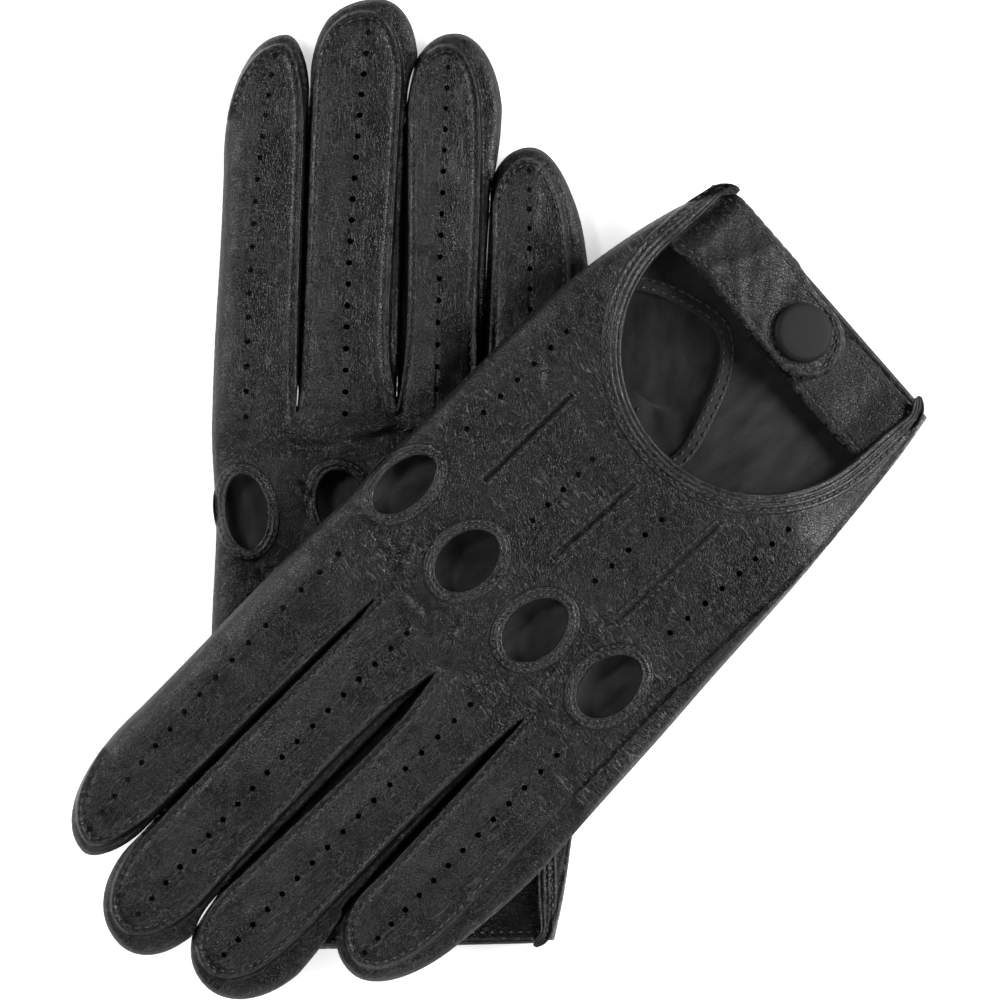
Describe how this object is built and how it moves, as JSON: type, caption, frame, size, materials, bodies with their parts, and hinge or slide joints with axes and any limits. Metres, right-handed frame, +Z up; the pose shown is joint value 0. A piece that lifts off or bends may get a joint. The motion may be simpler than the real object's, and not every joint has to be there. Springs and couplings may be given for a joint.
{
  "type": "leather driving gloves",
  "caption": "Pair of unlined black leather driving gloves with open knuckles, an open wrist back and a snap strap, one lying across the other.",
  "frame": {"origin": "Middle of the pair's footprint, on the table top", "axes": "+Z up from the table, +Y the way the right glove's fingers point, +X towards its little finger side"},
  "size_m": [0.2122, 0.2427, 0.0344],
  "materials": {
    "right_trank": "semi-gloss black lambskin",
    "right_knuckle_bindings": "semi-gloss black lambskin",
    "right_opening_binding": "semi-gloss black lambskin",
    "right_thumb_gusset": "semi-gloss black lambskin",
    "right_wrist_hem": "suede side out",
    "right_wrist_elastic": "woven elastic",
    "right_tab_lining": "suede side out",
    "right_tab_outer": "semi-gloss black lambskin",
    "right_snap_stud": "gunmetal plating",
    "right_snap_post": "gunmetal plating",
    "right_strap_lining": "suede side out",
    "right_strap_outer": "semi-gloss black lambskin",
    "right_snap_cap": "satin black lacquer",
    "right_snap_socket": "gunmetal plating",
    "right_thumb": "semi-gloss black lambskin",
    "right_index_finger": "semi-gloss black lambskin",
    "right_index_fourchette_little_side": "semi-gloss black lambskin",
    "right_middle_finger": "semi-gloss black lambskin",
    "right_middle_fourchette_index_side": "semi-gloss black lambskin",
    "right_middle_fourchette_little_side": "semi-gloss black lambskin",
    "right_ring_finger": "semi-gloss black lambskin",
    "right_ring_fourchette_index_side": "semi-gloss black lambskin",
    "right_ring_fourchette_little_side": "semi-gloss black lambskin",
    "right_little_finger": "semi-gloss black lambskin",
    "right_little_fourchette_index_side": "semi-gloss black lambskin",
    "left_trank": "semi-gloss black lambskin",
    "left_knuckle_bindings": "semi-gloss black lambskin",
    "left_opening_binding": "semi-gloss black lambskin",
    "left_thumb_gusset": "semi-gloss black lambskin",
    "left_wrist_hem": "suede side out",
    "left_wrist_elastic": "woven elastic",
    "left_tab_lining": "suede side out",
    "left_tab_outer": "semi-gloss black lambskin",
    "left_snap_stud": "gunmetal plating",
    "left_snap_post": "gunmetal plating",
    "left_strap_lining": "suede side out",
    "left_strap_outer": "semi-gloss black lambskin",
    "left_snap_cap": "satin black lacquer",
    "left_snap_socket": "gunmetal plating",
    "left_thumb": "semi-gloss black lambskin",
    "left_index_finger": "semi-gloss black lambskin",
    "left_index_fourchette_little_side": "semi-gloss black lambskin",
    "left_middle_finger": "semi-gloss black lambskin",
    "left_middle_fourchette_index_side": "semi-gloss black lambskin",
    "left_middle_fourchette_little_side": "semi-gloss black lambskin",
    "left_ring_finger": "semi-gloss black lambskin",
    "left_ring_fourchette_index_side": "semi-gloss black lambskin",
    "left_ring_fourchette_little_side": "semi-gloss black lambskin",
    "left_little_finger": "semi-gloss black lambskin",
    "left_little_fourchette_index_side": "semi-gloss black lambskin"
  },
  "bodies": {
    "right_glove": {"right_trank": "right_trank", "right_knuckle_bindings": "right_knuckle_bindings", "right_opening_binding": "right_opening_binding", "right_thumb_gusset": "right_thumb_gusset", "right_wrist_hem": "right_wrist_hem", "right_wrist_elastic": "right_wrist_elastic", "right_tab_lining": "right_tab_lining", "right_tab_outer": "right_tab_outer", "right_snap_stud": "right_snap_stud", "right_snap_post": "right_snap_post"},
    "right_strap": {"right_strap_lining": "right_strap_lining", "right_strap_outer": "right_strap_outer", "right_snap_cap": "right_snap_cap", "right_snap_socket": "right_snap_socket"},
    "right_thumb": {"right_thumb": "right_thumb"},
    "right_index": {"right_index_finger": "right_index_finger", "right_index_fourchette_little_side": "right_index_fourchette_little_side"},
    "right_middle": {"right_middle_finger": "right_middle_finger", "right_middle_fourchette_index_side": "right_middle_fourchette_index_side", "right_middle_fourchette_little_side": "right_middle_fourchette_little_side"},
    "right_ring": {"right_ring_finger": "right_ring_finger", "right_ring_fourchette_index_side": "right_ring_fourchette_index_side", "right_ring_fourchette_little_side": "right_ring_fourchette_little_side"},
    "right_little": {"right_little_finger": "right_little_finger", "right_little_fourchette_index_side": "right_little_fourchette_index_side"},
    "left_glove": {"left_trank": "left_trank", "left_knuckle_bindings": "left_knuckle_bindings", "left_opening_binding": "left_opening_binding", "left_thumb_gusset": "left_thumb_gusset", "left_wrist_hem": "left_wrist_hem", "left_wrist_elastic": "left_wrist_elastic", "left_tab_lining": "left_tab_lining", "left_tab_outer": "left_tab_outer", "left_snap_stud": "left_snap_stud", "left_snap_post": "left_snap_post"},
    "left_strap": {"left_strap_lining": "left_strap_lining", "left_strap_outer": "left_strap_outer", "left_snap_cap": "left_snap_cap", "left_snap_socket": "left_snap_socket"},
    "left_thumb": {"left_thumb": "left_thumb"},
    "left_index": {"left_index_finger": "left_index_finger", "left_index_fourchette_little_side": "left_index_fourchette_little_side"},
    "left_middle": {"left_middle_finger": "left_middle_finger", "left_middle_fourchette_index_side": "left_middle_fourchette_index_side", "left_middle_fourchette_little_side": "left_middle_fourchette_little_side"},
    "left_ring": {"left_ring_finger": "left_ring_finger", "left_ring_fourchette_index_side": "left_ring_fourchette_index_side", "left_ring_fourchette_little_side": "left_ring_fourchette_little_side"},
    "left_little": {"left_little_finger": "left_little_finger", "left_little_fourchette_index_side": "left_little_fourchette_index_side"}
  },
  "joints": [
    {"name": "right_strap_hinge", "type": "hinge", "parent": "right_glove", "child": "right_strap", "pos_m": [-0.05953, -0.10144, 0.01398], "axis": [0.0243, -0.9957, -0.0892], "range_deg": [0, 150]},
    {"name": "right_thumb_swing", "type": "hinge", "parent": "right_glove", "child": "right_thumb", "pos_m": [-0.04519, -0.05391, 0.0021], "axis": [0, 0, 1], "range_deg": [0, 60]},
    {"name": "right_index_lift", "type": "hinge", "parent": "right_glove", "child": "right_index", "pos_m": [-0.05789, 0.01826, 0.01627], "axis": [0.999, -0.0454, 0], "range_deg": [0, 60]},
    {"name": "right_middle_lift", "type": "hinge", "parent": "right_glove", "child": "right_middle", "pos_m": [-0.0366, 0.01878, 0.01627], "axis": [0.9988, -0.0488, 0], "range_deg": [0, 60]},
    {"name": "right_ring_lift", "type": "hinge", "parent": "right_glove", "child": "right_ring", "pos_m": [-0.01313, 0.01935, 0.01627], "axis": [0.9998, -0.0209, 0], "range_deg": [0, 8]},
    {"name": "right_little_spread", "type": "hinge", "parent": "right_glove", "child": "right_little", "pos_m": [0.02529, 0.0132, 0.01047], "axis": [0.0017, -0.0436, -0.999], "range_deg": [0, 12]},
    {"name": "left_strap_hinge", "type": "hinge", "parent": "left_glove", "child": "left_strap", "pos_m": [0.05096, 0.06736, 0.02619], "axis": [-0.6824, -0.657, 0.3204], "range_deg": [0, 150]},
    {"name": "left_thumb_swing", "type": "hinge", "parent": "left_glove", "child": "left_thumb", "pos_m": [0.02522, 0.02561, 0.0189], "axis": [0, 0, -1], "range_deg": [0, 60]},
    {"name": "left_index_lift", "type": "hinge", "parent": "left_glove", "child": "left_index", "pos_m": [-0.03564, -0.01522, 0.03324], "axis": [-0.7193, 0.6947, 0], "range_deg": [0, 60]},
    {"name": "left_middle_lift", "type": "hinge", "parent": "left_glove", "child": "left_middle", "pos_m": [-0.02089, -0.03195, 0.03324], "axis": [-0.7218, 0.6921, 0], "range_deg": [0, 60]},
    {"name": "left_ring_lift", "type": "hinge", "parent": "left_glove", "child": "left_ring", "pos_m": [-0.00503, -0.04994, 0.03324], "axis": [-0.7096, 0.7046, 0], "range_deg": [0, 60]},
    {"name": "left_little_lift", "type": "hinge", "parent": "left_glove", "child": "left_little", "pos_m": [0.01792, -0.06539, 0.03324], "axis": [-0.6845, 0.729, 0], "range_deg": [0, 60]},
    {"name": "left_glove_lift", "type": "slide", "parent": "right_glove", "child": "left_glove", "axis": [0, 0, 1], "range_m": [0, 0.15]}
  ],
  "couplings": [
    {"joint": "right_strap_hinge", "follows": "left_glove_lift", "rad_per_m": 17.45}
  ]
}
